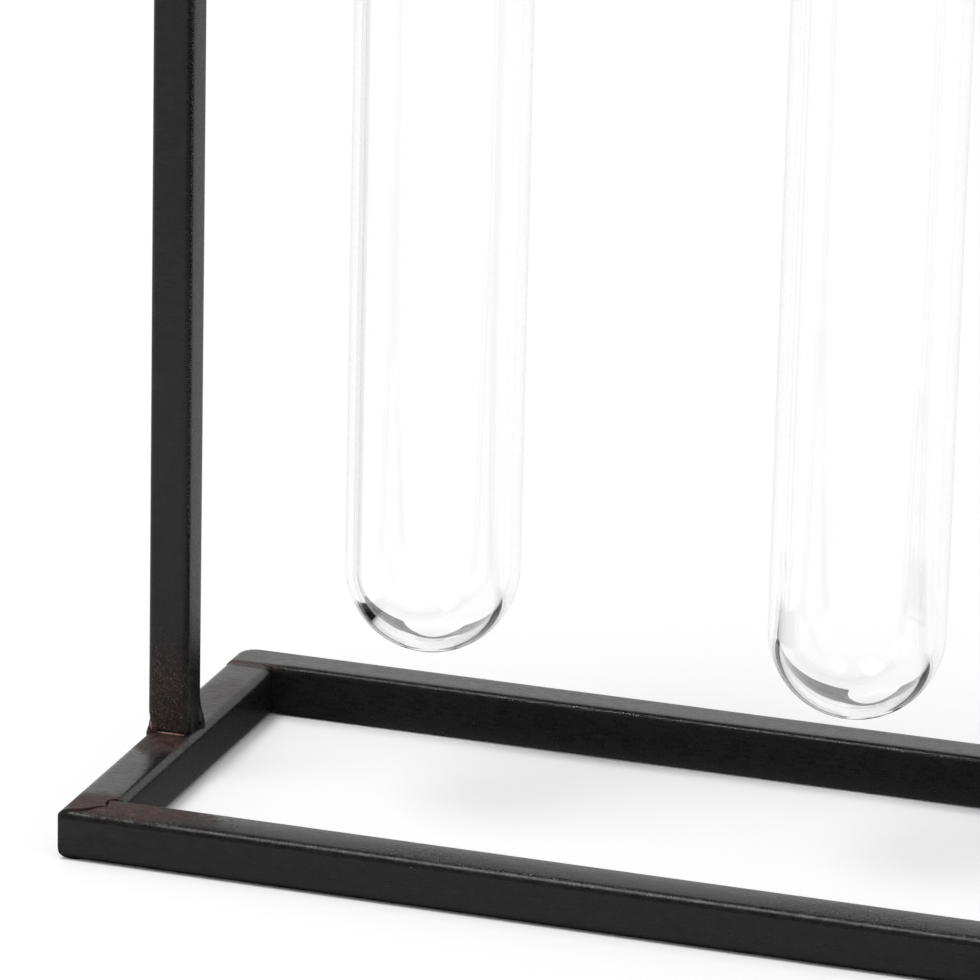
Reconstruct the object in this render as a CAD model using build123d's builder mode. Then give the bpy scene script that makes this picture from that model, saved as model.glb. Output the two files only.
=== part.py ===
from build123d import *
import os

# Test tube vase: a welded stand of square steel bar, with glass tubes that hang in a row.
# Millimetres. X runs along the row, Y from front to back and Z up.
# The origin is on the floor, under the middle of the base.

# Row of tubes
tube_count = 5
tube_pitch = 99.0
end_to_tube = 67.0

# Base frame, four rails of square bar lying on the floor
rail = 12.0
rail_edge = 2.1
base_depth = 119.0
front_corner = 1.8
rear_corner = 7.5

# Uprights and top rail, of a thinner square bar
bar = 9.8
bar_edge = 1.9
upright_inset = 0.3
stand_height = 260.0
top_corner = 1.8

# Rings that carry the tubes, of flat bar bent round
ring_wall = 3.0
ring_clearance = 0.8
ring_lead_in = 1.5
ring_edge = 0.6

# Glass tubes, each hanging by its flared lip
tube_diameter = 40.0
glass_wall = 2.3
tube_length = 224.6
hand_cut_spread = 1.4
hand_cut_shares = (-1.0, 1.0, 0.0, -0.6, 0.5)
lip_overhang = 3.4
flare_radius = 2.0
lip_gap = 0.3

# Weld beads
corner_weld = 1.5
ring_weld = 1.7
foot_weld_height = 3.4
foot_weld_reach = 1.7
foot_weld_climb = 9.5
foot_weld_tip_share = 0.9
foot_weld_sag_share = 0.12

# Places that follow from the sizes
base_length = 2 * end_to_tube + (tube_count - 1) * tube_pitch
left = -base_length / 2
right = base_length / 2
front = -base_depth / 2
back = base_depth / 2
rear_seam = back - rail

upright_outer = left + upright_inset
upright_centre = upright_outer + bar / 2
upright_inner = upright_outer + bar
bar_low = stand_height - bar

tube_places = [left + end_to_tube + i * tube_pitch for i in range(tube_count)]
tube_radius = tube_diameter / 2
bore_radius = tube_radius - glass_wall
ring_bore = tube_radius + ring_clearance
ring_radius = ring_bore + ring_wall
lip_radius = tube_radius + lip_overhang
lip_seat = stand_height + lip_gap

os.makedirs("parts", exist_ok=True)


def write(piece, name):
    """Label a finished piece and write it as its own file."""
    piece.part.label = name
    export_step(piece.part, f"parts/{name}.step")


# Outline of the welded base, its corners dressed round after welding
with BuildSketch() as footprint:
    Rectangle(base_length, base_depth)
    fillet(footprint.vertices().group_by(Axis.Y)[0], radius=front_corner)
    fillet(footprint.vertices().group_by(Axis.Y)[-1], radius=rear_corner)

# Front rail, mitred at both ends
with BuildPart() as base_front_rail:
    with BuildSketch(Plane.YZ.offset(left)):
        with Locations((front + rail / 2, rail / 2)):
            RectangleRounded(rail, rail, rail_edge)
    extrude(amount=base_length)
    with BuildSketch():
        with BuildLine():
            Polyline(
                (left, front),
                (right, front),
                (right - rail, front + rail),
                (left + rail, front + rail),
                close=True,
            )
        make_face()
    extrude(amount=rail, mode=Mode.INTERSECT)
    extrude(footprint.sketch, amount=rail, mode=Mode.INTERSECT)
write(base_front_rail, "base_front_rail")

# Rear rail, the full length of the base, with its outer corners ground round
with BuildPart() as base_rear_rail:
    with BuildSketch():
        with Locations((0, back - rail / 2)):
            Rectangle(base_length, rail)
    extrude(amount=rail)
    extrude(footprint.sketch, amount=rail, mode=Mode.INTERSECT)
    fillet(base_rear_rail.faces().filter_by(Axis.Z).edges(), radius=rail_edge)
write(base_rear_rail, "base_rear_rail")


def end_rail_section(plane):
    """Section of the left end rail on a plane across it."""
    with BuildSketch(plane) as section:
        with Locations((left + rail / 2, rail / 2)):
            RectangleRounded(rail, rail, rail_edge)
    return section.sketch


# End rails, mitred to the front rail and butted against the rear rail
with BuildPart() as base_left_rail:
    extrude(end_rail_section(Plane.XZ.offset(-rear_seam)), amount=rear_seam - front)
    with BuildSketch():
        with BuildLine():
            Polyline(
                (left, front),
                (left + rail, front + rail),
                (left + rail, rear_seam),
                (left, rear_seam),
                close=True,
            )
        make_face()
    extrude(amount=rail, mode=Mode.INTERSECT)
    extrude(footprint.sketch, amount=rail, mode=Mode.INTERSECT)
write(base_left_rail, "base_left_rail")

with BuildPart() as base_right_rail:
    mirror(base_left_rail.part, about=Plane.YZ)
write(base_right_rail, "base_right_rail")

# Weld metal that fills the groove under and over each butt joint, dressed flush
with BuildPart() as left_seam_weld:
    with BuildSketch(Plane.YZ.offset(left)):
        with Locations((rear_seam, 0)):
            Rectangle(rail_edge, rail_edge, align=(Align.MIN, Align.MIN))
    extrude(amount=rail)
    add(base_rear_rail.part, mode=Mode.SUBTRACT)
    extrude(
        end_rail_section(Plane.XZ.offset(-rear_seam)),
        amount=-rail_edge,
        mode=Mode.INTERSECT,
    )
with BuildPart() as left_seam_welds:
    add(left_seam_weld.part)
    mirror(left_seam_weld.part, about=Plane.XY.offset(rail / 2))
with BuildPart() as rear_seam_welds:
    add(left_seam_welds.part)
    mirror(left_seam_welds.part, about=Plane.YZ)
write(rear_seam_welds, "rear_seam_welds")

# Beads down the four inner corners of the base
inner_corners = [
    (side * (base_length / 2 - rail), depth)
    for side in (-1, 1)
    for depth in (front + rail, rear_seam)
]
with BuildPart() as base_corner_welds:
    with BuildSketch(Plane.XY.offset(rail_edge)):
        with Locations(*inner_corners):
            Circle(corner_weld)
    extrude(amount=rail - 2 * rail_edge)
    for neighbour in (base_front_rail, base_rear_rail, base_left_rail, base_right_rail):
        add(neighbour.part, mode=Mode.SUBTRACT)
write(base_corner_welds, "base_corner_welds")

# Outline of the uprights and top rail from the front, its top corners dressed round
with BuildSketch(Plane.XZ.offset(-bar / 2)) as portal:
    with Locations((0, (rail + stand_height) / 2)):
        Rectangle(-2 * upright_outer, stand_height - rail)
    fillet(portal.vertices().group_by(Axis.Z)[-1], radius=top_corner)

# Uprights, standing on the end rails and mitred to the top rail
with BuildPart() as left_upright:
    with BuildSketch(Plane.XY.offset(rail)):
        with Locations((upright_centre, 0)):
            RectangleRounded(bar, bar, bar_edge)
    extrude(amount=stand_height - rail)
    with BuildSketch(Plane.XZ.offset(-bar / 2)):
        with BuildLine():
            Polyline(
                (upright_outer, rail),
                (upright_inner, rail),
                (upright_inner, bar_low),
                (upright_outer, stand_height),
                close=True,
            )
        make_face()
    extrude(amount=bar, mode=Mode.INTERSECT)
    extrude(portal.sketch, amount=bar, mode=Mode.INTERSECT)
write(left_upright, "left_upright")

with BuildPart() as right_upright:
    mirror(left_upright.part, about=Plane.YZ)
write(right_upright, "right_upright")


def top_bar_section(place):
    """Section of the top rail across X at one place."""
    with BuildSketch(Plane.YZ.offset(place)) as section:
        with Locations((0, stand_height - bar / 2)):
            RectangleRounded(bar, bar, bar_edge)
    return section.sketch


def ring_blanks(*places):
    """Full discs of the rings' outer size, to cope the bars between them."""
    with BuildSketch(Plane.XY.offset(bar_low)) as discs:
        with Locations(*[(place, 0) for place in places]):
            Circle(ring_radius)
    return discs.sketch


# End links of the top rail, from the mitred corner to the nearest ring
with BuildPart() as left_top_link:
    extrude(top_bar_section(upright_outer), amount=tube_places[0] - upright_outer)
    with BuildSketch(Plane.XZ.offset(-bar / 2)):
        with BuildLine():
            Polyline(
                (upright_outer, stand_height),
                (upright_inner, bar_low),
                (tube_places[0], bar_low),
                (tube_places[0], stand_height),
                close=True,
            )
        make_face()
    extrude(amount=bar, mode=Mode.INTERSECT)
    extrude(portal.sketch, amount=bar, mode=Mode.INTERSECT)
    extrude(ring_blanks(tube_places[0]), amount=bar, mode=Mode.SUBTRACT)
write(left_top_link, "left_top_link")

with BuildPart() as right_top_link:
    mirror(left_top_link.part, about=Plane.YZ)
write(right_top_link, "right_top_link")


# Middle links, coped to the ring at each end
def middle_link(start, end):
    with BuildPart() as link:
        extrude(top_bar_section(start), amount=end - start)
        extrude(ring_blanks(start, end), amount=bar, mode=Mode.SUBTRACT)
    return link


middle_links = [middle_link(a, b) for a, b in zip(tube_places, tube_places[1:])]
for number, link in enumerate(middle_links, start=1):
    write(link, f"middle_top_link_{number}")


# Rings, level with the top rail, their upper inner edge eased for the tube's flare
def tube_ring(place):
    with BuildPart() as ring:
        with BuildSketch(Plane.XY.offset(bar_low)):
            with Locations((place, 0)):
                Circle(ring_radius)
                Circle(ring_bore, mode=Mode.SUBTRACT)
        extrude(amount=bar)
        rims = ring.edges().filter_by(GeomType.CIRCLE)
        top_inner = rims.group_by(Axis.Z)[-1].sort_by(SortBy.RADIUS)[0]
        fillet([rim for rim in rims if rim != top_inner], radius=ring_edge)
        rims = ring.edges().filter_by(GeomType.CIRCLE)
        top_inner = rims.group_by(Axis.Z)[-1].sort_by(SortBy.RADIUS)[0]
        fillet(top_inner, radius=ring_lead_in)
    return ring


tube_rings = [tube_ring(place) for place in tube_places]
for number, ring in enumerate(tube_rings, start=1):
    write(ring, f"tube_ring_{number}")

# Beads down both sides of each joint between a ring and a link
joint_reach = (ring_radius**2 - (bar / 2) ** 2) ** 0.5
joint_places = [
    (place + side * joint_reach, face * bar / 2)
    for place in tube_places
    for side in (-1, 1)
    for face in (-1, 1)
]
with BuildPart() as ring_welds:
    with BuildSketch(Plane.XY.offset(bar_low + bar_edge)):
        with Locations(*joint_places):
            Circle(ring_weld)
    extrude(amount=bar - 2 * bar_edge)
    for neighbour in (left_top_link, right_top_link, *middle_links, *tube_rings):
        add(neighbour.part, mode=Mode.SUBTRACT)
write(ring_welds, "ring_welds")

# Beads under the two top corners
with BuildPart() as top_corner_welds:
    with BuildSketch(Plane.XZ.offset(bar_edge - bar / 2)):
        with Locations((upright_inner, bar_low), (-upright_inner, bar_low)):
            Circle(corner_weld)
    extrude(amount=bar - 2 * bar_edge)
    for neighbour in (left_upright, right_upright, left_top_link, right_top_link):
        add(neighbour.part, mode=Mode.SUBTRACT)
write(top_corner_welds, "top_corner_welds")

# Welds at the foot of the left upright: a fillet over the rail's rounded outer edge,
# and a bead that climbs the inner rear edge
with BuildPart() as left_outer_foot:
    with BuildSketch(Plane.XZ.offset(-bar / 2)):
        with BuildLine():
            Polyline(
                (upright_outer, rail + foot_weld_height),
                (left, rail - rail_edge),
                (left + rail_edge, rail - rail_edge),
                (left + rail_edge, rail + foot_weld_height),
                close=True,
            )
        make_face()
    extrude(amount=bar)
    add(left_upright.part, mode=Mode.SUBTRACT)
    add(base_left_rail.part, mode=Mode.SUBTRACT)

bead_axis = (upright_inner - bar_edge, bar / 2 - bar_edge)
bead_radius = bar_edge + foot_weld_reach
bead_tip = bar_edge * foot_weld_tip_share
with BuildPart() as left_inner_foot:
    with BuildSketch(Plane(origin=(*bead_axis, rail), x_dir=(1, 0, 0), z_dir=(0, -1, 0))):
        with BuildLine():
            Polyline(
                (bead_tip, foot_weld_climb),
                (0, foot_weld_climb),
                (0, -rail_edge),
                (bead_radius, -rail_edge),
                (bead_radius, 0),
            )
            SagittaArc(
                (bead_radius, 0),
                (bead_tip, foot_weld_climb),
                bead_radius * foot_weld_sag_share,
            )
        make_face()
    revolve(axis=Axis((*bead_axis, 0), (0, 0, 1)))
    add(left_upright.part, mode=Mode.SUBTRACT)
    add(base_left_rail.part, mode=Mode.SUBTRACT)

with BuildPart() as foot_welds:
    add(left_outer_foot.part)
    add(left_inner_foot.part)
    mirror(left_outer_foot.part, about=Plane.YZ)
    mirror(left_inner_foot.part, about=Plane.YZ)
write(foot_welds, "foot_welds")


# Glass tubes, round-bottomed and flared at the mouth, each cut by hand to its own length
def glass_tube(place, length):
    bottom = lip_seat + glass_wall - length
    round_centre = bottom + tube_radius
    flare_centre = (tube_radius + flare_radius, lip_seat - flare_radius)
    rim_centre = (lip_radius - glass_wall / 2, lip_seat + glass_wall / 2)
    with BuildPart() as tube:
        with BuildSketch(Plane(origin=(place, 0, 0), x_dir=(1, 0, 0), z_dir=(0, -1, 0))):
            with BuildLine():
                CenterArc((0, round_centre), tube_radius, -90, 90)
                Line((tube_radius, round_centre), (tube_radius, flare_centre[1]))
                CenterArc(flare_centre, flare_radius, 180, -90)
                Line((flare_centre[0], lip_seat), (rim_centre[0], lip_seat))
                CenterArc(rim_centre, glass_wall / 2, -90, 180)
                Line(
                    (rim_centre[0], lip_seat + glass_wall),
                    (flare_centre[0], lip_seat + glass_wall),
                )
                CenterArc(flare_centre, flare_radius + glass_wall, 90, 90)
                Line((bore_radius, flare_centre[1]), (bore_radius, round_centre))
                CenterArc((0, round_centre), bore_radius, 0, -90)
                Line((0, bottom + glass_wall), (0, bottom))
            make_face()
        revolve(axis=Axis((place, 0, 0), (0, 0, 1)))
    return tube


for number, place in enumerate(tube_places, start=1):
    share = hand_cut_shares[(number - 1) % len(hand_cut_shares)]
    tube = glass_tube(place, tube_length + hand_cut_spread * share)
    write(tube, f"glass_tube_{number}")
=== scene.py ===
"""Looks of the test tube vase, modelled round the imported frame.

Metres, in the frame's own axes: X runs along the row, Y from front to back and Z up.
"""

import math

import bmesh
import bpy
from bpy.props import FloatProperty, FloatVectorProperty, IntProperty, PointerProperty
from bpy.types import Operator, Panel, PropertyGroup
from mathutils import Matrix, Vector


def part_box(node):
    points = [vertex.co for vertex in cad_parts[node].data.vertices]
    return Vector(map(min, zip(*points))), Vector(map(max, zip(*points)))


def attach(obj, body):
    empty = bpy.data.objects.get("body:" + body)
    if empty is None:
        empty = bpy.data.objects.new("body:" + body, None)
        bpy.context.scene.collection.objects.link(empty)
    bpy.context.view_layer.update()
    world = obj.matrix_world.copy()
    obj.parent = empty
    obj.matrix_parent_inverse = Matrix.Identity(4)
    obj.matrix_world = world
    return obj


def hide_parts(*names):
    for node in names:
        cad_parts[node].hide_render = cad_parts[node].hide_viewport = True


bl_info = {
    "name": "Test tube vase",
    "version": (1, 0, 0),
    "blender": (4, 5, 0),
    "location": "3D View > Sidebar > Vase",
    "description": "Models a welded stand of square steel bar with hanging glass tubes",
    "category": "Object",
}

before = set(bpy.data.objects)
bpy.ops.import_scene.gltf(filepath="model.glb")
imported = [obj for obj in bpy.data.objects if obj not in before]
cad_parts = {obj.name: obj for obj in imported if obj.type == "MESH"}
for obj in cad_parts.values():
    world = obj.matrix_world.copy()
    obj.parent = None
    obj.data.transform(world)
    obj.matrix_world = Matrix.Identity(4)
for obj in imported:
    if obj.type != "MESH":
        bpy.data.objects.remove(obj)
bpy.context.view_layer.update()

MM = 0.001
PICTURE = 980  # width and height of the picture in pixels

# Places and sizes read from the frame
FRONT_LOW, FRONT_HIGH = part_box("base_front_rail")
REAR_LOW, REAR_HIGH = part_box("base_rear_rail")
POST_LOW, POST_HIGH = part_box("left_upright")
TUBES = len([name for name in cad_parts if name.startswith("glass_tube_")])

LEFT, RIGHT = REAR_LOW.x, REAR_HIGH.x
FRONT, BACK = FRONT_LOW.y, REAR_HIGH.y
RAIL = FRONT_HIGH.z
REAR_SEAM = REAR_LOW.y
BAR = POST_HIGH.x - POST_LOW.x
RINGS = [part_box(f"tube_ring_{number}") for number in range(1, TUBES + 1)]
TOP = RINGS[0][1].z
RING_PLACES = [(low.x + high.x) / 2 for low, high in RINGS]
LEFT_RINGS = [place for place in RING_PLACES if place < MM]  # with the middle one
RING_RADIUS = (RINGS[0][1].x - RINGS[0][0].x) / 2
FOOT_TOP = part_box("foot_welds")[1].z


class SteelLook(PropertyGroup):
    """Finish of the bars and their welds."""

    colour: FloatVectorProperty(
        name="Steel colour",
        description="Colour of the black finish on the bars",
        subtype="COLOR",
        size=3,
        default=(0.009, 0.0088, 0.0088),
    )
    browned: FloatVectorProperty(
        name="Browned colour",
        description="Colour of the finish where welding heat has browned it",
        subtype="COLOR",
        size=3,
        default=(0.040, 0.019, 0.017),
    )
    speckle: FloatVectorProperty(
        name="Speckle colour",
        description="Colour of the fine pale specks near the welds",
        subtype="COLOR",
        size=3,
        default=(0.085, 0.078, 0.075),
    )
    # Pale also colours the feet's thin weld lines, where it is partly raw weld metal and partly
    # painted highlight
    pale: FloatVectorProperty(
        name="Pale weld colour",
        description="Colour of the thin bare lines of weld metal at the uprights' feet",
        subtype="COLOR",
        size=3,
        default=(0.16, 0.095, 0.08),
    )
    roughness: FloatProperty(
        name="Roughness",
        description="Roughness of the satin finish",
        default=0.3,
        min=0,
        max=1,
    )
    gloss: FloatProperty(
        name="Gloss",
        description="Specular level of the satin finish",
        default=0.25,
        min=0,
        max=1,
    )


class StandSizes(PropertyGroup):
    """Sizes of the stand that the frame's boxes don't give."""

    rail_edge: FloatProperty(
        name="Rail edge",
        description="Radius of the rolled edges of the base's bar",
        unit="LENGTH",
        default=2.1 * MM,
    )
    bar_edge: FloatProperty(
        name="Bar edge",
        description="Radius of the rolled edges of the uprights' bar",
        unit="LENGTH",
        default=1.5 * MM,
    )
    front_corner: FloatProperty(
        name="Front corner",
        description="Radius to which the base's front corners are ground",
        unit="LENGTH",
        default=0.7 * MM,
    )
    lower_corner: FloatProperty(
        name="Lower corner",
        description="Radius to which the lower edges of the base's ends are ground",
        unit="LENGTH",
        default=3.5 * MM,
    )
    rear_corner: FloatProperty(
        name="Rear corner",
        description="Radius to which the base's rear corners are ground",
        unit="LENGTH",
        default=4.8 * MM,
    )
    rear_edge: FloatProperty(
        name="Rear edge",
        description="Radius of the rolled edges of the base's rear bar",
        unit="LENGTH",
        default=1.75 * MM,
    )
    rear_fall: FloatProperty(
        name="Rear fall",
        description="Angle by which the rear rail's top falls towards the back",
        subtype="ANGLE",
        default=math.radians(2.2),
    )
    front_fall: FloatProperty(
        name="Front fall",
        description="Angle by which the front rail's top falls towards the front",
        subtype="ANGLE",
        default=math.radians(2.1),
    )
    crown: FloatProperty(
        name="Crown",
        description="Share by which the front rail's section is drawn towards a circle",
        default=0.2,
    )
    slight_crown: FloatProperty(
        name="Slight crown",
        description="Share by which the other bars' sections are drawn towards a circle",
        default=0.04,
    )
    ring_wall: FloatProperty(
        name="Ring wall",
        description="Thickness of the flat bar that the rings are bent from",
        unit="LENGTH",
        default=3.0 * MM,
    )


class GlassSizes(PropertyGroup):
    """Sizes and look of the glass tubes."""

    diameter: FloatProperty(
        name="Diameter",
        description="Outer diameter of a tube",
        unit="LENGTH",
        default=39.5 * MM,
    )
    wall: FloatProperty(
        name="Wall",
        description="Thickness of the glass",
        unit="LENGTH",
        default=2.3 * MM,
    )
    flare: FloatProperty(
        name="Flare",
        description="Radius of the bend under the lip",
        unit="LENGTH",
        default=2.0 * MM,
    )
    thinning: FloatProperty(
        name="Thinning",
        description="How much thinner the glass is in the middle of a tube's bottom",
        unit="LENGTH",
        default=1.2 * MM,
    )
    thinning_reach: FloatProperty(
        name="Thinning reach",
        description="Distance from the middle of the bottom to the full wall",
        unit="LENGTH",
        default=8.0 * MM,
    )
    segments: IntProperty(
        name="Segments",
        description="Segments round a tube",
        default=128,
    )


class StudioPlace(PropertyGroup):
    """Camera and light of the stage."""

    azimuth: FloatProperty(
        name="Azimuth",
        description="Angle of the camera to the right of the front",
        subtype="ANGLE",
        default=math.radians(17.959),
    )
    elevation: FloatProperty(
        name="Elevation",
        description="Angle of the camera above the floor",
        subtype="ANGLE",
        default=math.radians(17.819),
    )
    roll: FloatProperty(
        name="Roll",
        description="Turn of the camera about its own axis",
        subtype="ANGLE",
        default=math.radians(1.324),
    )
    focal: FloatProperty(
        name="Focal length",
        description="Focal length in widths of the picture",
        default=6728 / PICTURE,
    )
    distance: FloatProperty(
        name="Distance",
        description="Distance from the camera to the base's left end",
        unit="LENGTH",
        default=1550.9 * MM,
    )
    end_across: FloatProperty(
        name="End across",
        description="Where the base's left end lies across the picture, as a share from its left",
        default=152.9 / PICTURE,
    )
    end_down: FloatProperty(
        name="End down",
        description="Where the base's left end lies down the picture, as a share from its top",
        default=773.16 / PICTURE,
    )


class Socket:
    """One output of a shader tree, on which plain arithmetic adds Math nodes."""

    def __init__(self, tree, output=None):
        self.tree = tree
        self.output = output

    def node(self, kind, settings=None, values=None, give=0):
        """Add a node, set it, fill its inputs and return one of its outputs."""
        made = self.tree.nodes.new("ShaderNode" + kind)
        for name, value in (settings or {}).items():
            setattr(made, name, value)
        for name, value in (values or {}).items():
            if isinstance(value, Socket):
                self.tree.links.new(value.output, made.inputs[name])
            else:
                made.inputs[name].default_value = value
        return Socket(self.tree, made.outputs[give])

    def maths(self, operation, first, second=0.0):
        return self.node("Math", {"operation": operation}, {0: first, 1: second})

    def __add__(self, other):
        return self.maths("ADD", self, other)

    def __radd__(self, other):
        return self.maths("ADD", other, self)

    def __sub__(self, other):
        return self.maths("SUBTRACT", self, other)

    def __rsub__(self, other):
        return self.maths("SUBTRACT", other, self)

    def __mul__(self, other):
        return self.maths("MULTIPLY", self, other)

    def at_least(self, other):
        return self.maths("MAXIMUM", self, other)

    def at_most(self, other):
        return self.maths("MINIMUM", self, other)

    def size(self):
        return self.maths("ABSOLUTE", self)

    def step(self, low, high):
        """0 up to low, 1 from high on and smooth between; with low over high it falls."""
        return self.node(
            "MapRange",
            {"interpolation_type": "SMOOTHSTEP"},
            {"Value": self, "From Min": low, "From Max": high},
        )

    def blend(self, low, high):
        """The colour low where this is 0 and high where it is 1."""
        return self.node(
            "Mix", {"data_type": "RGBA"}, {0: self, 6: rgb(low), 7: rgb(high)}, give=2
        )

    def split(self):
        """The three parts of a vector."""
        parts = self.node("SeparateXYZ", None, {0: self}).output.node
        return [Socket(self.tree, output) for output in parts.outputs]


def rgb(colour):
    """A colour as a colour socket takes it."""
    return colour if isinstance(colour, Socket) else (*colour, 1)


def new_material(name):
    """An empty material, its shader tree and its Principled node's inputs."""
    material = bpy.data.materials.new(name)
    material.use_nodes = True
    tree = material.node_tree
    surface = tree.nodes["Principled BSDF"]
    return material, Socket(tree), surface.inputs


def connect(socket, entry):
    """Link a socket to the input of a shader."""
    socket.tree.links.new(socket.output, entry)


def noise(tree, place, scale, detail, roughness=0.5):
    """Noise from 0 to 1 over a place; a greater scale makes it finer."""
    return tree.node(
        "TexNoise",
        None,
        {"Vector": place, "Scale": scale, "Detail": detail, "Roughness": roughness},
    )


def vector_maths(tree, operation, first, second=(0, 0, 0), give=0):
    """One Vector Math node."""
    return tree.node("VectorMath", {"operation": operation}, {0: first, 1: second}, give)


def shades(colour, dark, light):
    """A darker and a lighter shade of a colour."""
    return [dark * part for part in colour], [light * part for part in colour]


# Steel


def black_steel(name, stains, tint=None):
    """Satin black finish, browned and speckled in patches by welding heat.

    A stain is a centre on the right half, which counts for the left half too, its three
    radii and its strength.
    """
    look = bpy.context.scene.vase_steel
    material, tree, surface = new_material(name)
    place = tree.node("TexCoord", give=3)
    across, depth, height = place.split()
    mirrored = tree.node("CombineXYZ", None, {0: across.size(), 1: depth, 2: height})

    # From broad to fine; the drawn ones are four times as long along the row
    broad = noise(tree, place, 320.0, 4.0)
    patches = noise(tree, place, 420.0, 5.0, 0.65)
    fine = noise(tree, place, 1700.0, 3.0)
    specks = noise(tree, place, 3400.0, 0.0)
    drawn = vector_maths(tree, "MULTIPLY", place, (0.25, 1.0, 1.0))
    streaks = noise(tree, drawn, 1300.0, 4.0)
    crust = noise(tree, drawn, 2200.0, 2.0)

    def warmth(centre, radii, strength):
        offset = vector_maths(tree, "SUBTRACT", mirrored, centre)
        spread = vector_maths(tree, "DIVIDE", offset, radii)
        reach = vector_maths(tree, "LENGTH", spread, give=1)
        return (reach + (patches - 0.5) * 1.6).step(1.15, 0.55) * strength

    heat = warmth(*stains[0])
    for stain in stains[1:]:
        heat = heat.at_least(warmth(*stain))

    grain = (broad * 0.3 + fine * 0.3 + streaks * 0.4).step(0.3, 0.7)
    black = grain.blend(*shades(look.colour, 0.6, 1.4))
    mottle = (fine * 0.5 + patches * 0.5).step(0.36, 0.66)
    brown = mottle.blend(*shades(tint or look.browned, 0.45, 1.7))
    colour = heat.blend(black, brown)
    speckled = specks.step(0.66, 0.74) * heat.step(0.0, 0.5) * 0.7
    colour = speckled.blend(colour, look.speckle)
    crusted = crust.step(0.5, 0.68) * patches.step(0.45, 0.6) * heat.step(0.6, 1.0) * 0.6
    connect(crusted.blend(colour, look.pale), surface["Base Color"])

    roughness = look.roughness + (fine - 0.5) * 0.26 + (streaks - 0.5) * 0.3
    connect(roughness + heat * patches * 0.85, surface["Roughness"])
    surface["Specular IOR Level"].default_value = look.gloss
    relief = (fine + streaks) * (heat + 0.5) + broad * 0.5 + heat * patches * 1.5
    bump = tree.node("Bump", None, {"Strength": 1.0, "Distance": 0.07 * MM, "Height": relief})
    connect(bump, surface["Normal"])
    return material


def clear_glass():
    """Clear glass, with the faint unevenness of a drawn tube."""
    material, tree, surface = new_material("clear_glass")
    waves = noise(tree, tree.node("TexCoord", give=3), 55.0, 1.0)
    surface["Transmission Weight"].default_value = 1.0
    surface["IOR"].default_value = 1.47
    surface["Roughness"].default_value = 0.0
    surface["Base Color"].default_value = (1, 1, 1, 1)
    bump = tree.node("Bump", None, {"Strength": 0.1, "Distance": 0.02 * MM, "Height": waves})
    connect(bump, surface["Normal"])
    return material


# Modelling helpers

BAR_WAVES = (30 * MM, 0.03 * MM)  # size and depth of the slight waves in rolled bar


def deselect():
    """Select no object, so that an operator takes only what is added or chosen next."""
    bpy.ops.object.select_all(action="DESELECT")


def name_piece(name):
    """Name the object that was just added."""
    piece = bpy.context.active_object
    piece.name = piece.data.name = name
    return piece


def settle():
    """Put the place of the active object into its mesh."""
    bpy.ops.object.transform_apply(location=True, rotation=True, scale=True)


def activate(piece):
    """Make a piece the one selected and active object."""
    deselect()
    piece.select_set(True)
    bpy.context.view_layer.objects.active = piece


def aim(item, way):
    """Turn an object so that its own Z axis points along a way."""
    item.rotation_mode = "QUATERNION"
    item.rotation_quaternion = way.to_track_quat("Z", "Y")


def lay_down(piece, place=(0, 0, 0)):
    """Turn a form so that its height runs towards the front, and move it to a place."""
    activate(piece)
    piece.rotation_euler.x = math.radians(90)
    piece.location = place
    settle()


def edit():
    """Start to edit the mesh of the active object."""
    bpy.ops.object.mode_set(mode="EDIT")


def leave_edit():
    """Go back to the objects."""
    bpy.ops.object.mode_set(mode="OBJECT")


def pick_all():
    """In edit mode, select the whole mesh."""
    bpy.ops.mesh.select_all(action="SELECT")


def bisect(place, normal, **more):
    """In edit mode, cut the whole mesh along a plane."""
    pick_all()
    bpy.ops.mesh.bisect(plane_co=place, plane_no=normal, **more)


def extrude_up(rise):
    """In edit mode, extrude what is selected by a rise along Z."""
    bpy.ops.mesh.extrude_region_move(TRANSFORM_OT_translate={"value": (0, 0, rise)})


def pick(kind, chosen):
    """In edit mode, select just the vertices or edges that a test picks out."""
    data = bpy.context.active_object.data
    bpy.ops.mesh.select_mode(type=kind)
    bpy.ops.mesh.select_all(action="DESELECT")
    mesh = bmesh.from_edit_mesh(data)
    for part in mesh.verts if kind == "VERT" else mesh.edges:
        if chosen(part):
            part.select_set(True)
    mesh.select_flush_mode()
    bmesh.update_edit_mesh(data)


def along(axis):
    """A test for edges that run along an axis."""

    def test(edge):
        run = edge.verts[1].co - edge.verts[0].co
        return abs(run[axis]) > 0.99 * run.length

    return test


def outward():
    """Merge doubles and turn all faces outwards, in edit mode."""
    pick_all()
    bpy.ops.mesh.remove_doubles(threshold=0.001 * MM)
    bpy.ops.mesh.normals_make_consistent(inside=False)


def modify(piece, kind, **settings):
    """Add a modifier to a piece and apply it."""
    bpy.context.view_layer.objects.active = piece
    modifier = piece.modifiers.new(kind.title(), kind)
    for name, value in settings.items():
        setattr(modifier, name, value)
    bpy.ops.object.modifier_apply(modifier=modifier.name)


def finish(piece, material, node, body="stand"):
    """Give a finished piece its shading, material and body, in place of a CAD node."""
    activate(piece)
    piece.data.materials.clear()
    piece.data.materials.append(material)
    bpy.ops.object.shade_smooth_by_angle(angle=math.radians(35))
    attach(piece, body)
    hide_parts(node)


def mirrored_copy(piece, name):
    """A copy of a piece on the other side of the middle, with its own mesh."""
    activate(piece)
    bpy.ops.object.duplicate()
    other = name_piece(name)
    other.scale.x = -1
    settle()
    edit()
    outward()
    leave_edit()
    return other


def finish_pair(piece, material, node):
    """Finish a left piece of the stand, and its mirrored copy with right names for left ones."""
    other = mirrored_copy(piece, piece.name.replace("left", "right"))
    finish(piece, material, node)
    finish(other, material, node.replace("left", "right"))


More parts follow.
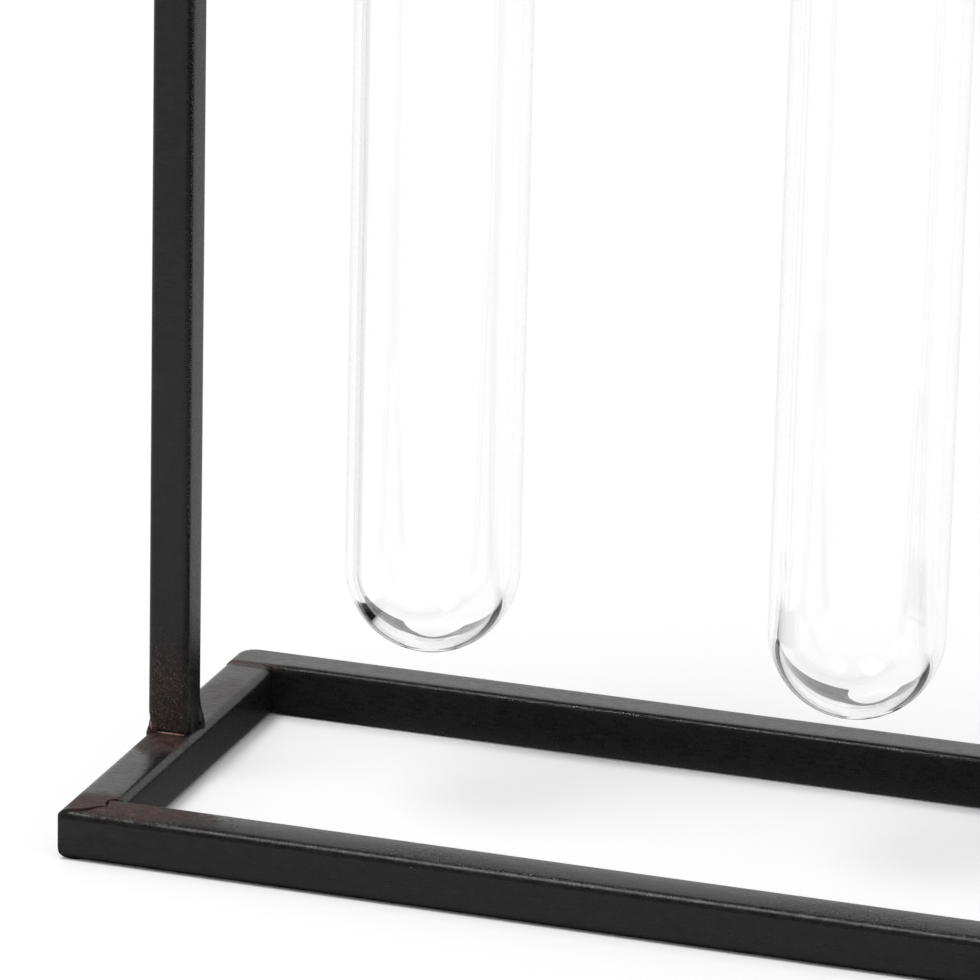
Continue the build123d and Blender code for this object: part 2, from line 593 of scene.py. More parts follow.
def square_bar(name, start, end, side, edge, crown):
    """A rolled square bar between two points: rounded edges, slightly crowned sides."""
    run = Vector(end) - Vector(start)
    deselect()
    bpy.ops.mesh.primitive_plane_add(size=side)
    piece = name_piece(name)
    edit()
    pick_all()
    bpy.ops.mesh.bevel(offset=edge, segments=8, affect="VERTICES")
    pick("EDGE", lambda part: part.calc_length() > side / 2)
    bpy.ops.mesh.subdivide(number_cuts=5)
    pick_all()
    extrude_up(run.length)
    pick("EDGE", along(2))
    bpy.ops.mesh.subdivide(number_cuts=max(2, round(run.length / (6 * MM))))
    outward()
    leave_edit()
    modify(
        piece,
        "CAST",
        cast_type="CYLINDER",
        factor=crown,
        use_z=False,
        use_radius_as_size=False,
        size=side / 2,
    )
    activate(piece)
    aim(piece, run)
    piece.location = start
    settle()
    roughen(piece, *BAR_WAVES)
    return piece


def prism(name, points, low, high):
    """An upright prism over a flat outline of (x, y) points, for cutting."""
    deselect()
    bpy.ops.mesh.primitive_circle_add(vertices=len(points), fill_type="NGON")
    piece = name_piece(name)
    edit()
    mesh = bmesh.from_edit_mesh(piece.data)
    for vertex, (x, y) in zip(mesh.verts, points):
        vertex.co = (x, y, low)
    bmesh.update_edit_mesh(piece.data)
    pick_all()
    extrude_up(high - low)
    outward()
    leave_edit()
    return piece


def block(name, low, high):
    """A block between two corners, ready to be shaped."""
    low, high = Vector(low), Vector(high)
    deselect()
    bpy.ops.mesh.primitive_cube_add(size=1, location=(low + high) / 2, scale=high - low)
    piece = name_piece(name)
    settle()
    return piece


def stacked(name, place, profile, vertices=32):
    """A round form built up from its foot: each (radius, height) is one more ring."""
    deselect()
    radius, height = profile[0]
    bpy.ops.mesh.primitive_circle_add(
        vertices=vertices, radius=radius, fill_type="NGON", location=(*place, height)
    )
    piece = name_piece(name)
    settle()
    edit()
    pick_all()
    for wider, higher in profile[1:]:
        extrude_up(higher - height)
        share = wider / radius
        bpy.ops.transform.resize(value=(share, share, 1), center_override=(*place, higher))
        radius, height = wider, higher
    outward()
    leave_edit()
    return piece


def mitre(piece, way):
    """Cut a bar of the top's left corner to 45 degrees; a way of 1 keeps what lies below."""
    activate(piece)
    edit()
    bisect((POST_LOW.x, 0, TOP), (way, 0, way), use_fill=True, clear_outer=True)
    leave_edit()


def roughen(piece, size, depth):
    """Waves or lumps of a given size and depth over a piece."""
    lumps = bpy.data.textures.new(piece.name + "_lumps", "CLOUDS")
    lumps.noise_scale = size
    modify(piece, "DISPLACE", texture=lumps, strength=depth, mid_level=0.5)


def joined(pieces, name):
    """One piece from several."""
    deselect()
    for piece in pieces:
        piece.select_set(True)
    bpy.context.view_layer.objects.active = pieces[0]
    bpy.ops.object.join()
    return name_piece(name)


def bead(name, start, end, radius):
    """A short weld bead between two points, drawn in at its ends and rippled."""
    start, end = Vector(start), Vector(end)
    run = end - start
    deselect()
    bpy.ops.mesh.primitive_uv_sphere_add(segments=24, ring_count=20, radius=radius)
    piece = name_piece(name)
    piece.scale = (1, 1, (run.length / 2 + 0.3 * radius) / radius)
    aim(piece, run)
    piece.location = (start + end) / 2
    settle()
    roughen(piece, 0.9 * radius, 0.5 * radius)
    return piece


def upright_bead(name, place, low, high, radius):
    """A bead that stands on end over a place, between two heights above it."""
    return bead(name, place + Vector((0, 0, low)), place + Vector((0, 0, high)), radius)


def carve(piece, cutter, operation="DIFFERENCE"):
    """Cut a piece with a cutter, which is then deleted."""
    modify(piece, "BOOLEAN", object=cutter, operation=operation, solver="EXACT")
    bpy.data.objects.remove(cutter)


# Base

# The seam over the front corner, from its outer to its inner end, as shares of the rail's side
MITRE_SEAM_SHARES = (
    *((-0.1, -0.1), (0.19, 0.09), (0.30, 0.13), (0.44, 0.19), (0.545, 0.26), (0.655, 0.405)),
    *((0.795, 0.50), (0.75, 0.655), (0.72, 0.78), (0.80, 0.86), (0.90, 0.89), (1.1, 1.1)),
)
# Widths in millimetres of the groove along that seam, from its second point on
SEAM_WIDTHS = (0.2, 0.45, 0.3, 0.65, 0.4, 0.5, 0.75, 0.4, 0.6, 0.7)

# The open line in the rear seam, in millimetres in from the end and back from the seam
REAR_LINE = ((4.6, -0.9), (6.4, 1.1), (8.4, 1.3), (10.1, -0.1), (12.6, -0.3), (13.6, -0.3))
REAR_LINE_WIDTHS = (0.1, 0.22, 0.26, 0.9, 1.1)

WELD_GRID = 0.22 * MM  # spacing of the grid on which the rough welds are meshed anew

# Pits in the front rail's top, in millimetres: in from the end, in from the front, radius at
# the pit's floor and radius above the rail
FRONT_PITS = ((10.8, 5.2, 0.12, 0.3), (39.6, 5.4, 0.1, 0.5), (41.0, 4.9, 0.1, 0.7))


def spot(inwards, depth, height=RAIL / MM):
    """A place on the right half, in millimetres in from the base's end."""
    return (RIGHT - inwards * MM, depth * MM, height * MM)


def millimetres(*sizes):
    """Sizes given in millimetres."""
    return tuple(size * MM for size in sizes)


def jagged_groove(path, widths, depth):
    """A cutter for a groove in the rails' top, of a given width at each point but the last."""
    one_side, other_side = [], []
    path = [Vector(place) for place in path]
    for place, after, width in zip(path, path[1:], widths):
        run = (after - place).normalized()
        across = Vector((-run.y, run.x)) * width / 2 * MM
        one_side.append(tuple(place + across))
        other_side.append(tuple(place - across))
    return prism("seam_groove", one_side + other_side[::-1], RAIL - depth, RAIL + MM)


def cut_seam(piece, sign, operation):
    """Cut a rail along a front corner's seam, and cut the seam's shallow groove."""
    seam = [(sign * (LEFT + RAIL * x), FRONT + RAIL * y) for x, y in MITRE_SEAM_SHARES]
    # Round all that is on the end rail's side of the seam
    reach = 2 * RAIL
    outline = seam + [
        (sign * (LEFT + reach), BACK),
        (sign * (LEFT - reach), BACK),
        (sign * (LEFT - reach), FRONT - reach / 2),
    ]
    carve(piece, prism("seam_cutter", outline, -RAIL, reach), operation)
    carve(piece, jagged_groove(seam[1:], SEAM_WIDTHS, 0.6 * MM))


def grind(piece, sizes):
    """Grind a rail's ends: its front corners round, and the lower edges of its ends rounder."""

    def front(edge):
        return min(vertex.co.y for vertex in edge.verts) < 0

    def lower_end(edge):
        return along(1)(edge) and edge.verts[0].co.z < RAIL / 2

    for radius, chosen in ((sizes.front_corner, front), (sizes.lower_corner, lower_end)):
        outline = block("outline", (LEFT, FRONT, 0), (RIGHT, BACK, RAIL))
        edit()
        pick("EDGE", chosen)
        bpy.ops.mesh.bevel(offset=radius, segments=8, affect="EDGES")
        leave_edit()
        carve(piece, outline, "INTERSECT")


def tip_top(piece, hinge, edge, angle, reach=RIGHT + MM):
    """Tip the top of a rail that lies along the row, about a hinge at the given depth.

    A positive angle raises the top in front of the hinge. Its ends beyond the reach stay level.
    """
    activate(piece)
    edit()
    pick("VERT", lambda part: part.co.z > RAIL - edge - 0.01 * MM and abs(part.co.x) < reach)
    bpy.ops.transform.rotate(
        value=angle, orient_axis="X", center_override=(0, hinge, RAIL - edge)
    )
    leave_edit()


def rear_rail(sizes):
    """The rear rail, its outer corners ground round after welding."""
    piece = block("rear_rail", REAR_LOW, REAR_HIGH)
    edit()

    def outer_corner(edge):
        return along(2)(edge) and edge.verts[0].co.y > REAR_SEAM + RAIL / 2

    pick("EDGE", outer_corner)
    bpy.ops.mesh.bevel(offset=sizes.rear_corner, segments=12, affect="EDGES")

    def top_or_bottom(edge):
        return abs(edge.verts[0].co.z - edge.verts[1].co.z) < 0.01 * MM

    edge = sizes.rear_edge
    pick("EDGE", top_or_bottom)
    bpy.ops.mesh.bevel(offset=edge, segments=8, affect="EDGES")
    for share in (0.3, 0.45, 0.6, 0.75):
        bisect((0, REAR_SEAM + share * RAIL, 0), (0, 1, 0))
    for share in (0.3, 0.5, 0.7):
        bisect((0, 0, share * RAIL), (0, 0, 1))
    pick("EDGE", lambda part: along(0)(part) and part.calc_length() > RAIL)
    bpy.ops.mesh.subdivide(number_cuts=80)
    leave_edit()
    tip_top(piece, BACK - edge, edge, sizes.rear_fall, RIGHT - 1.1 * RAIL)
    roughen(piece, *BAR_WAVES)
    return piece


class VASE_OT_base(Operator):
    """Model the four rails of the base"""

    bl_idname = "vase.base"
    bl_label = "Base rails"

    def execute(self, context):
        sizes = context.scene.vase_stand
        steel = black_steel(
            "base_steel",
            [
                (spot(14, FRONT / MM + 6), millimetres(22, 8, 1.2), 0.9),
                (spot(6, FRONT / MM + 9), millimetres(8, 6, 1.5), 0.4),
                # In front of the upright's foot this patch is partly real heat tint and partly a
                # painted reflection of the browned upright in the rail's top
                (spot(5.5, -11), millimetres(8, 8, 1.8), 0.8),
                (spot(7, 25), millimetres(6, 14, 1.5), 0.25),
                (spot(7, REAR_SEAM / MM), millimetres(9, 2.5, 1.5), 0.6),
            ],
        )
        middle = RAIL / 2
        start, end = (LEFT, FRONT + middle, middle), (RIGHT, FRONT + middle, middle)
        front = square_bar("front_rail", start, end, RAIL, sizes.rail_edge, sizes.crown)
        tip_top(front, FRONT + RAIL - sizes.rail_edge, sizes.rail_edge, -sizes.front_fall)
        for sign in (1, -1):
            cut_seam(front, sign, "DIFFERENCE")
            for inwards, depth, narrow, wide in FRONT_PITS:
                pit = stacked(
                    "pit",
                    (sign * (LEFT + inwards * MM), FRONT + depth * MM),
                    [(narrow * MM, RAIL - 0.45 * MM), (wide * MM, RAIL + 0.4 * MM)],
                    12,
                )
                carve(front, pit)
        grind(front, sizes)
        finish(front, steel, "base_front_rail")

        finish(rear_rail(sizes), steel, "base_rear_rail")

        start, end = (LEFT + middle, FRONT, middle), (LEFT + middle, REAR_SEAM, middle)
        side = square_bar("left_rail", start, end, RAIL, sizes.rail_edge, sizes.slight_crown)
        cut_seam(side, 1, "INTERSECT")
        grind(side, sizes)
        finish_pair(side, steel, "base_left_rail")
        return {"FINISHED"}


def notch_foot(post):
    """Undercut the upright's foot where the weld has burnt into it."""
    face = -BAR / 2
    # A round notch along the outer edge
    notch = 2.4 * MM
    outer = stacked("outer_notch", (0, 0), [(notch, -BAR), (notch, BAR)])
    lay_down(outer, (POST_LOW.x - 1.8 * MM, 0, RAIL + 3.3 * MM))
    carve(post, outer)
    # A thin slot over the bare line of weld
    slot = block(
        "foot_slot",
        (POST_LOW.x + notch, face - MM, RAIL + 0.4 * MM),
        (POST_LOW.x + 9.0 * MM, face + 0.7 * MM, RAIL + 0.85 * MM),
    )
    carve(post, slot)
    # A recess that narrows up the inner side
    recess = stacked(
        "foot_recess",
        (POST_HIGH.x + 0.35 * MM, face + 1.7 * MM),
        [(1.25 * MM, RAIL - 1.0 * MM), (1.1 * MM, RAIL + 1.5 * MM), (0.4 * MM, RAIL + 4.6 * MM)],
        24,
    )
    carve(post, recess)


class VASE_OT_uprights(Operator):
    """Model the two uprights"""

    bl_idname = "vase.uprights"
    bl_label = "Uprights"

    def execute(self, context):
        sizes = context.scene.vase_stand
        steel = black_steel(
            "upright_steel",
            [(spot(5, -5), millimetres(9, 4, 24), 0.7)],
            [0.6 * part for part in context.scene.vase_steel.browned],
        )
        centre = (POST_LOW.x + POST_HIGH.x) / 2
        section = BAR, sizes.bar_edge, sizes.slight_crown
        post = square_bar("left_upright_bar", (centre, 0, RAIL), (centre, 0, TOP), *section)
        mitre(post, 1)
        notch_foot(post)
        finish_pair(post, steel, "left_upright")
        return {"FINISHED"}


def rear_seam_fill(edge):
    """Weld metal over the rear left seam, ground flush but for a thin open line."""
    inset = 0.3 * MM
    piece = block(
        "left_seam_fill",
        (LEFT + inset, REAR_SEAM - 1.1 * MM, edge / 2),
        (LEFT + RAIL - 0.35 * MM, REAR_SEAM + 2.0 * MM, RAIL - 0.02 * MM),
    )
    edit()

    def outer_edge(part):
        return along(1)(part) and part.verts[0].co.z > RAIL / 2 and part.verts[0].co.x < LEFT + MM

    pick("EDGE", outer_edge)
    bpy.ops.mesh.bevel(offset=edge - inset, segments=8, affect="EDGES")
    pick("EDGE", lambda part: part.calc_length() > 2.5 * MM)
    bpy.ops.mesh.subdivide(number_cuts=6)
    leave_edit()
    modify(piece, "REMESH", mode="VOXEL", voxel_size=WELD_GRID)
    roughen(piece, 1.6 * MM, 0.12 * MM)
    path = [(LEFT + x * MM, REAR_SEAM + y * MM) for x, y in REAR_LINE]
    carve(piece, jagged_groove(path, REAR_LINE_WIDTHS, 0.7 * MM))
    return piece


def foot_fillet(edge):
    """Weld metal over the rail's rounded edge, on the outer side of the left upright's foot."""
    outline = [
        (LEFT + 0.05 * MM, RAIL - edge),
        (POST_LOW.x + 3.2 * MM, RAIL - edge),
        (POST_LOW.x + 2.2 * MM, RAIL + 3.4 * MM),
        (POST_LOW.x + 0.9 * MM, RAIL + 3.4 * MM),
        (POST_LOW.x + 0.5 * MM, RAIL + 2.0 * MM),
        (POST_LOW.x + 0.1 * MM, RAIL + 0.9 * MM),
        (LEFT + 0.06 * MM, RAIL - 0.2 * MM),
    ]
    piece = prism("foot_fillet", outline, -BAR / 2 - 0.1 * MM, BAR / 2)
    lay_down(piece)
    modify(piece, "BEVEL", width=0.3 * MM, segments=3)
    modify(piece, "REMESH", mode="VOXEL", voxel_size=WELD_GRID)
    roughen(piece, 1.2 * MM, 0.1 * MM)
    return piece


def foot_bead(sizes):
    """The bead that flares up the inner corner of the left upright, with a pit in it."""
    axis = (POST_HIGH.x - sizes.bar_edge, BAR / 2 - sizes.bar_edge)
    climb = FOOT_TOP - RAIL
    reach = 1.25 * MM
    profile = [(sizes.bar_edge + reach, RAIL - sizes.rail_edge)]
    for step in range(9):
        rise = climb * step / 8
        flare = reach * math.exp(-((rise / (0.55 * climb)) ** 2))
        profile.append((sizes.bar_edge + flare - 0.05 * MM, RAIL + rise))
    piece = stacked("foot_bead", axis, profile)
    pit = stacked(
        "foot_pit",
        (axis[0] + 2.0 * MM, axis[1] - 1.4 * MM),
        [(0.25 * MM, RAIL + 0.6 * MM), (0.4 * MM, RAIL + 1.1 * MM), (0.2 * MM, RAIL + 1.6 * MM)],
        12,
    )
    carve(piece, pit)
    roughen(piece, 1.6 * MM, 0.2 * MM)
    return piece


def foot_lines():
    """The thin lines of weld metal under and beside the left upright's front face, coloured pale:
    partly the raw weld metal, partly a painted highlight.
    """
    face = -BAR / 2 - 0.05 * MM
    line = bead(
        "foot_line",
        (LEFT + 3.0 * MM, face, RAIL + 0.15 * MM),
        (LEFT + 9.4 * MM, face, RAIL + 0.15 * MM),
        0.24 * MM,
    )
    # The glint is a painted highlight: a pale bead on the fillet's front edge, where that edge
    # catches the light
    glint = bead(
        "foot_glint",
        (LEFT + 1.5 * MM, face, RAIL + 0.5 * MM),
        (LEFT + 1.3 * MM, face + 0.1 * MM, RAIL + 2.6 * MM),
        0.28 * MM,
    )
    return joined([line, glint], "left_foot_line")


class VASE_OT_base_welds(Operator):
    """Model the welds of the base and of the uprights' feet"""

    bl_idname = "vase.base_welds"
    bl_label = "Base welds"

    def execute(self, context):
        sizes = context.scene.vase_stand
        weld = black_steel(
            "weld_steel",
            [
                (spot(2, -5), millimetres(6, 6, 6), 1.0),
                (spot(6, REAR_SEAM / MM), millimetres(9, 3, 1), 0.8),
            ],
        )
        # Pale finish of the feet's thin weld lines: partly raw weld metal, partly painted
        # highlight
        bare_and_highlight = black_steel(
            "bare_weld_and_highlight",
            [(spot(4, -5), millimetres(9, 9, 9), 1.0)],
            context.scene.vase_steel.pale,
        )
        edge = sizes.rail_edge
        inset = 0.1 * MM
        beads = []
        for side in (-1, 1):
            for depth, way in ((FRONT + RAIL, 1), (REAR_SEAM, -1)):
                place = Vector((side * (RIGHT - RAIL - inset), depth + way * inset, 0))
                low, high = 1.3 * edge, RAIL - 1.3 * edge
                beads.append(upright_bead("corner_bead", place, low, high, 0.12 * edge))
        finish(joined(beads, "inner_corner_beads"), weld, "base_corner_welds")

        # Both pieces of a pair stand for one node of the frame here
        finish_pair(rear_seam_fill(edge), weld, "rear_seam_welds")
        fillet, flared = foot_fillet(edge), foot_bead(sizes)
        finish_pair(foot_lines(), bare_and_highlight, "foot_welds")
        around = joined([fillet, flared], "left_foot_weld")
        finish_pair(around, weld, "foot_welds")
        return {"FINISHED"}


# Top rail and rings


class VASE_OT_top_rail(Operator):
    """Model the links of the top rail"""

    bl_idname = "vase.top_rail"
    bl_label = "Top rail"

    def execute(self, context):
        sizes = context.scene.vase_stand
        around = (RING_RADIUS + 6.5 * MM, 30 * MM, 8 * MM)
        steel = black_steel(
            "top_steel",
            [((abs(place), 0, TOP), around, 0.6) for place in LEFT_RINGS]
            + [((-POST_LOW.x, 0, TOP), millimetres(12, 12, 12), 0.6)],
        )
        middle = TOP - BAR / 2
        section = BAR, sizes.bar_edge, sizes.slight_crown
        ends = [POST_LOW.x, *RING_PLACES, -POST_LOW.x]
        for number, (start, end) in enumerate(zip(ends, ends[1:-1])):
            name = "left_end_link" if number == 0 else f"middle_link_{number}"
            link = square_bar(name, (start, 0, middle), (end, 0, middle), *section)
            if number == 0:
                mitre(link, -1)
            for place in (start, end):
                if place in RING_PLACES:
                    sides = [(RING_RADIUS, 0), (RING_RADIUS, 2 * TOP)]
                    carve(link, stacked("cope", (place, 0), sides, 96))
            if number == 0:
                finish_pair(link, steel, "left_top_link")
            else:
                finish(link, steel, f"middle_top_link_{number}")
        return {"FINISHED"}


def bent_ring(name, place, wall):
    """Flat bar bent round into a ring and closed, its edges dressed."""
    ring_low, ring_high = RINGS[0]
    height = ring_high.z - ring_low.z
    deselect()
    bpy.ops.mesh.primitive_plane_add(
        size=1,
        rotation=(math.radians(90), 0, 0),
        location=(place + RING_RADIUS - wall / 2, 0, ring_low.z + height / 2),
    )
    piece = name_piece(name)
    piece.scale = (wall, height, 1)
    settle()
    edit()
    pick_all()
    bpy.ops.mesh.bevel(offset=0.2 * wall, segments=4, affect="VERTICES")
    pick_all()
    bpy.ops.mesh.delete(type="ONLY_FACE")
    pick_all()
    bpy.ops.mesh.spin(
        steps=128, angle=math.radians(360), center=(place, 0, 0), axis=(0, 0, 1)
    )
    outward()
    leave_edit()
    return piece


class VASE_OT_rings(Operator):
    """Model the rings that carry the tubes, and their welds"""

    bl_idname = "vase.rings"
    bl_label = "Rings"

    def execute(self, context):
        sizes = context.scene.vase_stand
        reach = RING_RADIUS + 1.5 * MM
        steel = black_steel(
            "ring_steel",
            [
                ((abs(place) + side * reach, 0, TOP), millimetres(6, 8, 9), 0.7)
                for place in LEFT_RINGS
                for side in (-1, 1)
            ],
        )
        for number, place in enumerate(RING_PLACES, start=1):
            ring = bent_ring(f"ring_{number}_band", place, sizes.ring_wall)
            finish(ring, steel, f"tube_ring_{number}")
        across = math.sqrt(RING_RADIUS**2 - (BAR / 2) ** 2) + 0.4 * MM
        depth = BAR / 2 + 0.2 * MM
        beads = [
            upright_bead(
                "ring_bead",
                Vector((place + side * across, face * depth, TOP - BAR)),
                0.2 * BAR,
                0.8 * BAR,
                1.3 * MM,
            )
            for place in RING_PLACES
            for side in (-1, 1)
            for face in (-1, 1)
        ]
        finish(joined(beads, "ring_weld_beads"), steel, "ring_welds")
        inset = 0.3 * MM
        beads = [
            bead(
                "top_bead",
                (side * (POST_HIGH.x + inset), -0.3 * BAR, TOP - BAR - inset),
                (side * (POST_HIGH.x + inset), 0.3 * BAR, TOP - BAR - inset),
                1.2 * MM,
            )
            for side in (-1, 1)
        ]
        finish(joined(beads, "top_corner_beads"), steel, "top_corner_welds")
        return {"FINISHED"}


# Glass tubes

# Where the glass of each tube's bottom is thinnest, as shares of the radius across and back
BOTTOM_LEANS = ((0.0, 0.0), (0.2, 0.0), (-0.1, 0.1), (0.05, -0.1), (-0.2, 0.0))
WALL_RINGS = 24  # rings of faces up a tube's straight wall
FLARE_RINGS = 8  # rings of faces round the bend under its lip


def model_tube(number, low, high, place):
    """A tube blown to a round bottom, its mouth flared to a fire-polished lip."""
    sizes = bpy.context.scene.vase_glass
    radius = sizes.diameter / 2
    centre = Vector((place, 0, low + radius))
    deselect()
    bpy.ops.mesh.primitive_uv_sphere_add(
        segments=sizes.segments, ring_count=sizes.segments, radius=radius, location=centre
    )
    piece = name_piece(f"tube_{number}_glass")
    settle()
    edit()
    pick("VERT", lambda part: part.co.z > low + radius + 0.01 * MM)
    bpy.ops.mesh.delete(type="VERT")
    pick("EDGE", lambda part: part.is_boundary)

    def widen(share):
        bpy.ops.transform.resize(value=(share, share, 1), center_override=(place, 0, high))

    straight = high - sizes.wall - sizes.flare - low - radius
    for _ in range(WALL_RINGS):
        extrude_up(straight / WALL_RINGS)
    reach = radius
    for step in range(1, FLARE_RINGS + 1):
        before, angle = [
            math.radians(90) * turned / FLARE_RINGS for turned in (step - 1, step)
        ]
        extrude_up(sizes.flare * (math.sin(angle) - math.sin(before)))
        wider = radius + sizes.flare * (1 - math.cos(angle))
        widen(wider / reach)
        reach = wider
    box_low, box_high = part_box("glass_tube_1")
    lip = (box_high.x - box_low.x) / 2
    bpy.ops.mesh.extrude_region_move()
    widen(lip / reach)
    leave_edit()
    modify(piece, "SOLIDIFY", thickness=sizes.wall, offset=-1, use_even_offset=True)

    # Blow the bottom thinner, a little off its middle
    activate(piece)
    edit()
    across, back = [lean * radius for lean in BOTTOM_LEANS[number - 1]]
    inside = radius - sizes.wall
    thinnest = Vector(
        (place + across, back, low + radius - math.sqrt(inside**2 - across**2))
    )
    inner = [v for v in piece.data.vertices if abs((v.co - centre).length - inside) < 0.1 * MM]
    nearest = min(inner, key=lambda vertex: (vertex.co - thinnest).length).index
    pick("VERT", lambda part: part.index == nearest)
    bpy.ops.transform.translate(
        value=(0, 0, -sizes.thinning),
        use_proportional_edit=True,
        use_proportional_connected=True,
        proportional_edit_falloff="SMOOTH",
        proportional_size=sizes.thinning_reach,
    )

    def on_rim(part):
        first, last = [vertex.co for vertex in part.verts]
        nearer = min(math.hypot(end.x - place, end.y) for end in (first, last))
        return nearer > lip * 0.999 and abs(first.z - last.z) < 0.01 * MM

    pick("EDGE", on_rim)
    bpy.ops.mesh.bevel(offset=sizes.wall * 0.48, segments=6, affect="EDGES")
    leave_edit()
    return piece


class VASE_OT_glass_tubes(Operator):
    """Model the glass tubes"""

    bl_idname = "vase.glass_tubes"
    bl_label = "Glass tubes"

    def execute(self, context):
        glass = clear_glass()
        for number in range(1, TUBES + 1):
            node = f"glass_tube_{number}"
            low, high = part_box(node)
            place = (low.x + high.x) / 2
            tube = model_tube(number, low.z, high.z, place)
            finish(tube, glass, node, f"tube_{number}")
        return {"FINISHED"}


# Stage

LAMP_AIM = Vector((-0.1, 0, 0.05))


def rays_seen(tree):
    """Whether a ray comes from the camera, off satin steel or by way of clear glass."""
    rays = tree.node("LightPath").output.node.outputs
    camera = Socket(tree.tree, rays["Is Camera Ray"])
    glass = Socket(tree.tree, rays["Is Transmission Ray"]).at_least(
        Socket(tree.tree, rays["Is Singular Ray"])
    )
    steel = Socket(tree.tree, rays["Is Glossy Ray"]) * (1 - glass)
    return camera, steel, glass


def studio_world():
    """White to the camera, soft light on the object, and a white wall behind for its gloss."""
    world = bpy.data.worlds.new("studio")
    bpy.context.scene.world = world
    world.use_nodes = True
    nodes = world.node_tree
    nodes.nodes.clear()
    tree = Socket(nodes)
    _, depth, height = tree.node("TexCoord", give=0).split()
    camera, steel, glass = rays_seen(tree)
    # Each wall ends well above the object, and the room over it is dark
    wall_behind = depth.step(-0.2, 0.2) * height.step(0.88, 0.76) * 1.2
    wall_ahead = depth.step(0.2, -0.2) * height.step(0.55, 0.45) * 0.25
    soft_light = (1 - camera) * (1 - steel) * (1 - glass) * 0.75
    strength = camera + glass + steel * (wall_behind + wall_ahead) + soft_light
    background = tree.node("Background", None, {"Color": (1, 1, 1, 1), "Strength": strength})
    connect(background, nodes.nodes.new("ShaderNodeOutputWorld").inputs["Surface"])


def pale_floor():
    """White floor: it keeps the object's shadow, and fades to the white of the wall."""
    material, tree, surface = new_material("floor_white")
    nodes = tree.tree
    across, depth, _ = tree.node("TexCoord", give=3).split()
    camera, steel, glass = rays_seen(tree)
    surface["Base Color"].default_value = (0.9, 0.9, 0.9, 1)
    surface["Roughness"].default_value = 1.0
    surface["Specular IOR Level"].default_value = 0.0

    # Distance from the rails: the contact shadow is kept in full close to them
    beyond = (across.size() - RIGHT).at_least(depth.size() - BACK)
    within = (RIGHT - RAIL - across.size()).at_most(BACK - RAIL - depth.size())
    clear = beyond.at_least(within)
    white = (camera + glass).at_most(1.0)
    share = white * (clear.step(0.0, 6 * MM) * 0.6 + beyond.step(0.02, 0.2) * 0.4) + steel

    # What the steel's gloss finds on the floor, which glows for it though it is no lamp: painted
    # light around the base, painted shade inside it
    ahead = depth.step(FRONT + 4 * MM, FRONT - 4 * MM) * across.step(0.25, -0.15)
    ahead = ahead * (0.72 + depth.step(-0.08, -0.2) * 0.5)
    ahead = ahead * (0.05 + depth.step(-0.5, -0.25) * 0.95)
    behind = depth.step(0.06, 0.125) * (0.76 - depth.step(0.4, 0.8) * 0.12)
    beside = across.step(LEFT + 6 * MM, LEFT - 5 * MM) * 0.9
    # A painted pool of light on the floor just in front of the rear rail, for the gloss of the
    # ends' inner sides
    near_rear = depth.step(0.03, 0.046) * across.step(-0.25, -0.22) * 0.4
    inside = (depth.step(0.1, -0.05) * 0.3).at_least(near_rear)
    inside = inside * depth.step(FRONT - 4 * MM, FRONT + 4 * MM) * depth.step(0.06, 0.05)
    found = ahead.at_least(behind).at_least(beside).at_least(inside)
    # Painted contact shadow: the glow for the gloss fades out close to the rails
    found = found * clear.step(-1.5 * MM, 0.4 * MM)
    # To the camera the white is painted a shade darker near the base, 0.96 rising to 1 over a
    # tenth of a metre, as painted shade
    strength = white * (0.96 + beyond.step(0.0, 0.1) * 0.04) + steel * found
    glow = tree.node("Emission", None, {"Color": (1, 1, 1, 1), "Strength": strength})
    mixed = tree.node(
        "MixShader", None, {0: share, 1: Socket(nodes, surface[0].node.outputs[0]), 2: glow}
    )
    connect(mixed, nodes.nodes["Material Output"].inputs["Surface"])
    return material


def softbox(name, direction, distance, width, height, radiance):
    """A rectangular lamp that faces the object from a direction."""
    deselect()
    way = Vector(direction).normalized()
    bpy.ops.object.light_add(type="AREA", location=LAMP_AIM + way * distance)
    lamp = name_piece(name)
    aim(lamp, way)
    lamp.data.shape = "RECTANGLE"
    lamp.data.size = width
    lamp.data.size_y = height
    lamp.data.energy = radiance * math.pi * width * height
    lamp.visible_camera = False
    return lamp


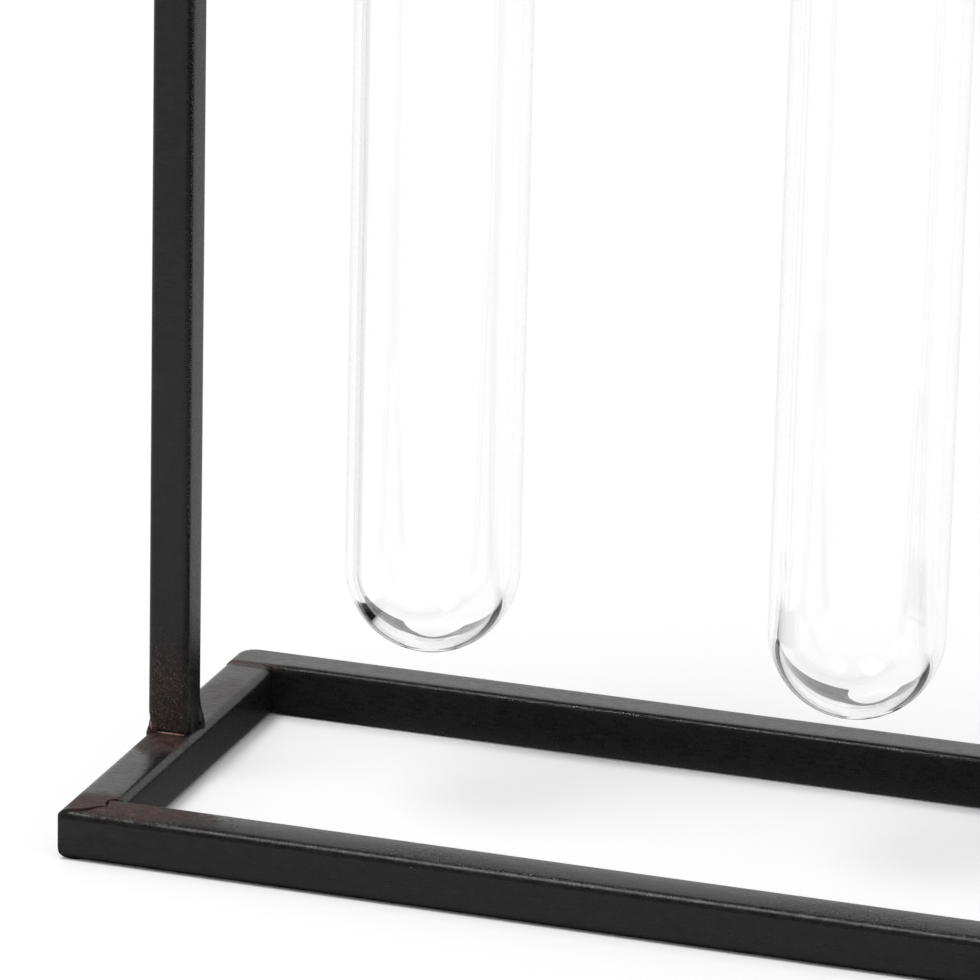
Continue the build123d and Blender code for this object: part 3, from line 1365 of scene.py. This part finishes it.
class VASE_OT_stage(Operator):
    """Set up the floor, the light and the camera"""

    bl_idname = "vase.stage"
    bl_label = "Stage"

    def execute(self, context):
        scene = context.scene
        scene.view_settings.view_transform = "Standard"
        studio_world()
        deselect()
        bpy.ops.mesh.primitive_circle_add(vertices=96, radius=8, fill_type="NGON")
        floor = name_piece("floor")
        floor.data.materials.append(pale_floor())

        softbox(
            "overhead_light",
            direction=(-0.30, -0.295, 0.907),
            distance=1.3,
            width=0.55,
            height=0.5,
            radiance=10.5,
        )
        side = softbox(
            "left_light",
            direction=(-0.9, -0.35, 0.45),
            distance=1.6,
            width=0.9,
            height=0.9,
            radiance=0.8,
        )
        side.visible_glossy = False

        place = scene.vase_studio
        turn, rise = place.azimuth, place.elevation
        flat = Vector((math.sin(turn), -math.cos(turn), 0))
        back = flat * math.cos(rise) + Vector((0, 0, math.sin(rise)))
        level = Vector((math.cos(turn), math.sin(turn), 0))
        upright = back.cross(level)
        across = math.cos(place.roll) * level + math.sin(place.roll) * upright
        up = math.cos(place.roll) * upright - math.sin(place.roll) * level
        offset = place.distance / place.focal
        position = (
            Vector((LEFT, 0, 0))
            - across * (place.end_across - 0.5) * offset
            + up * (place.end_down - 0.5) * offset
            + back * place.distance
        )
        turned = Matrix((across, up, back)).transposed()
        bpy.ops.object.camera_add(location=position, rotation=turned.to_euler())
        camera = name_piece("camera")
        camera.data.sensor_width = 36
        camera.data.lens = place.focal * camera.data.sensor_width
        camera.data.clip_end = 50
        scene.camera = camera
        return {"FINISHED"}


class VASE_PT_panel(Panel):
    """Lists the steps that model the vase"""

    bl_idname = "VASE_PT_panel"
    bl_label = "Test tube vase"
    bl_space_type = "VIEW_3D"
    bl_region_type = "UI"
    bl_category = "Vase"

    def draw(self, context):
        for entry in CLASSES:
            if issubclass(entry, Operator):
                self.layout.operator(entry.bl_idname)


CLASSES = [
    SteelLook,
    StandSizes,
    GlassSizes,
    StudioPlace,
    VASE_OT_stage,
    VASE_OT_base,
    VASE_OT_uprights,
    VASE_OT_base_welds,
    VASE_OT_top_rail,
    VASE_OT_rings,
    VASE_OT_glass_tubes,
    VASE_PT_panel,
]


def register():
    """Add the classes to Blender, and the settings to its scenes."""
    for entry in CLASSES:
        bpy.utils.register_class(entry)
    scene = bpy.types.Scene
    scene.vase_steel = PointerProperty(type=SteelLook)
    scene.vase_stand = PointerProperty(type=StandSizes)
    scene.vase_glass = PointerProperty(type=GlassSizes)
    scene.vase_studio = PointerProperty(type=StudioPlace)


def unregister():
    """Take the settings and the classes out again."""
    scene = bpy.types.Scene
    del scene.vase_steel, scene.vase_stand, scene.vase_glass, scene.vase_studio
    for entry in reversed(CLASSES):
        bpy.utils.unregister_class(entry)


def main():
    """Build the scene step by step."""
    register()
    bpy.ops.vase.stage()
    bpy.ops.vase.base()
    bpy.ops.vase.uprights()
    bpy.ops.vase.base_welds()
    bpy.ops.vase.top_rail()
    bpy.ops.vase.rings()
    bpy.ops.vase.glass_tubes()


if __name__ == "__main__":
    main()
